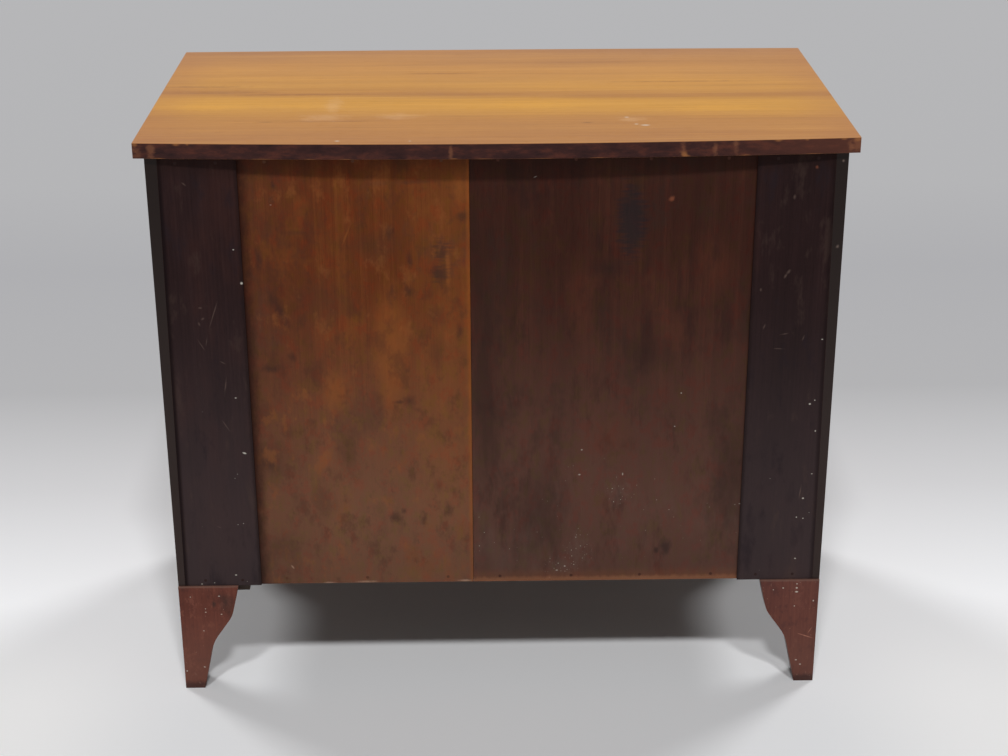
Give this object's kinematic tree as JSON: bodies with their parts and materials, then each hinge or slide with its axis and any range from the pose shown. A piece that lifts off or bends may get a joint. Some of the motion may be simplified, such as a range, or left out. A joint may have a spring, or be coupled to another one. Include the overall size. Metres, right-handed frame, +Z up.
{
  "type": "chest of drawers",
  "caption": "Bow front chest of drawers with graduated drawers, oval brass pulls with swinging bails, shaped bracket feet and a back of wide boards between stiles.",
  "frame": {"origin": "on the floor, under the middle of the chest's overall box", "axes": "+Z up, drawers face -Y, the back faces +Y, +X along the width"},
  "size_m": [1.016, 0.5709, 0.884],
  "materials": {
    "top_wood": "worn oil polish, honey brown",
    "case_wood": "satin polish, dark red brown",
    "stile_wood": "dull dark stain",
    "light_board_wood": "dull, stained mid brown",
    "dark_board_wood": "dull dark red stain",
    "front_wood": "satin polish",
    "drawer_front_wood": "satin polish, figured veneer",
    "drawer_wood": "bare aged softwood",
    "inner_wood": "bare aged softwood",
    "block_wood": "bare dark softwood",
    "foot_wood": "worn satin polish, red brown",
    "brass": "aged polish",
    "iron": "dull, rusted"
  },
  "bodies": {
    "carcass": {"top_panel": "top_wood", "side_left": "case_wood", "side_right": "case_wood", "rear_stile_left": "stile_wood", "rear_stile_right": "stile_wood", "back_board_light": "light_board_wood", "back_board_dark": "dark_board_wood", "bottom_board": "inner_wood", "top_front_rail": "front_wood", "top_rear_rail": "inner_wood", "drawer_rail_1": "front_wood", "drawer_rail_2": "front_wood", "drawer_rail_3": "front_wood", "base_rail": "front_wood", "front_apron": "front_wood", "drawer_runners": "inner_wood", "top_kickers": "inner_wood", "drawer_stops": "inner_wood", "foot_front_left": "foot_wood", "foot_front_right": "foot_wood", "foot_rear_left": "foot_wood", "foot_rear_right": "foot_wood", "glue_blocks": "block_wood", "back_nails": "iron"},
    "drawer_1": {"drawer_1_front": "drawer_front_wood", "drawer_1_side_left": "drawer_wood", "drawer_1_side_right": "drawer_wood", "drawer_1_back": "drawer_wood", "drawer_1_bottom": "drawer_wood", "drawer_1_pull_plates": "brass", "drawer_1_pull_posts": "brass"},
    "drawer_1_bail_left": {"drawer_1_bail_left": "brass"},
    "drawer_1_bail_right": {"drawer_1_bail_right": "brass"},
    "drawer_2": {"drawer_2_front": "drawer_front_wood", "drawer_2_side_left": "drawer_wood", "drawer_2_side_right": "drawer_wood", "drawer_2_back": "drawer_wood", "drawer_2_bottom": "drawer_wood", "drawer_2_pull_plates": "brass", "drawer_2_pull_posts": "brass"},
    "drawer_2_bail_left": {"drawer_2_bail_left": "brass"},
    "drawer_2_bail_right": {"drawer_2_bail_right": "brass"},
    "drawer_3": {"drawer_3_front": "drawer_front_wood", "drawer_3_side_left": "drawer_wood", "drawer_3_side_right": "drawer_wood", "drawer_3_back": "drawer_wood", "drawer_3_bottom": "drawer_wood", "drawer_3_pull_plates": "brass", "drawer_3_pull_posts": "brass"},
    "drawer_3_bail_left": {"drawer_3_bail_left": "brass"},
    "drawer_3_bail_right": {"drawer_3_bail_right": "brass"},
    "drawer_4": {"drawer_4_front": "drawer_front_wood", "drawer_4_side_left": "drawer_wood", "drawer_4_side_right": "drawer_wood", "drawer_4_back": "drawer_wood", "drawer_4_bottom": "drawer_wood", "drawer_4_pull_plates": "brass", "drawer_4_pull_posts": "brass"},
    "drawer_4_bail_left": {"drawer_4_bail_left": "brass"},
    "drawer_4_bail_right": {"drawer_4_bail_right": "brass"}
  },
  "joints": [
    {"name": "drawer_1_slide", "type": "slide", "parent": "carcass", "child": "drawer_1", "axis": [0, -1, 0], "range_m": [0, 0.34]},
    {"name": "drawer_1_bail_left_hinge", "type": "hinge", "parent": "drawer_1", "child": "drawer_1_bail_left", "pos_m": [0.26275, -0.27748, 0.78055], "axis": [-0.9976, -0.0686, 0], "range_deg": [0, 90]},
    {"name": "drawer_1_bail_right_hinge", "type": "hinge", "parent": "drawer_1", "child": "drawer_1_bail_right", "pos_m": [-0.26275, -0.27748, 0.78055], "axis": [-0.9976, 0.0686, 0], "range_deg": [0, 90]},
    {"name": "drawer_2_slide", "type": "slide", "parent": "carcass", "child": "drawer_2", "axis": [0, -1, 0], "range_m": [0, 0.34]},
    {"name": "drawer_2_bail_left_hinge", "type": "hinge", "parent": "drawer_2", "child": "drawer_2_bail_left", "pos_m": [0.26275, -0.27748, 0.62955], "axis": [-0.9976, -0.0686, 0], "range_deg": [0, 90]},
    {"name": "drawer_2_bail_right_hinge", "type": "hinge", "parent": "drawer_2", "child": "drawer_2_bail_right", "pos_m": [-0.26275, -0.27748, 0.62955], "axis": [-0.9976, 0.0686, 0], "range_deg": [0, 90]},
    {"name": "drawer_3_slide", "type": "slide", "parent": "carcass", "child": "drawer_3", "axis": [0, -1, 0], "range_m": [0, 0.34]},
    {"name": "drawer_3_bail_left_hinge", "type": "hinge", "parent": "drawer_3", "child": "drawer_3_bail_left", "pos_m": [0.26275, -0.27748, 0.46405], "axis": [-0.9976, -0.0686, 0], "range_deg": [0, 90]},
    {"name": "drawer_3_bail_right_hinge", "type": "hinge", "parent": "drawer_3", "child": "drawer_3_bail_right", "pos_m": [-0.26275, -0.27748, 0.46405], "axis": [-0.9976, 0.0686, 0], "range_deg": [0, 90]},
    {"name": "drawer_4_slide", "type": "slide", "parent": "carcass", "child": "drawer_4", "axis": [0, -1, 0], "range_m": [0, 0.34]},
    {"name": "drawer_4_bail_left_hinge", "type": "hinge", "parent": "drawer_4", "child": "drawer_4_bail_left", "pos_m": [0.26275, -0.27748, 0.28355], "axis": [-0.9976, -0.0686, 0], "range_deg": [0, 90]},
    {"name": "drawer_4_bail_right_hinge", "type": "hinge", "parent": "drawer_4", "child": "drawer_4_bail_right", "pos_m": [-0.26275, -0.27748, 0.28355], "axis": [-0.9976, 0.0686, 0], "range_deg": [0, 90]}
  ]
}
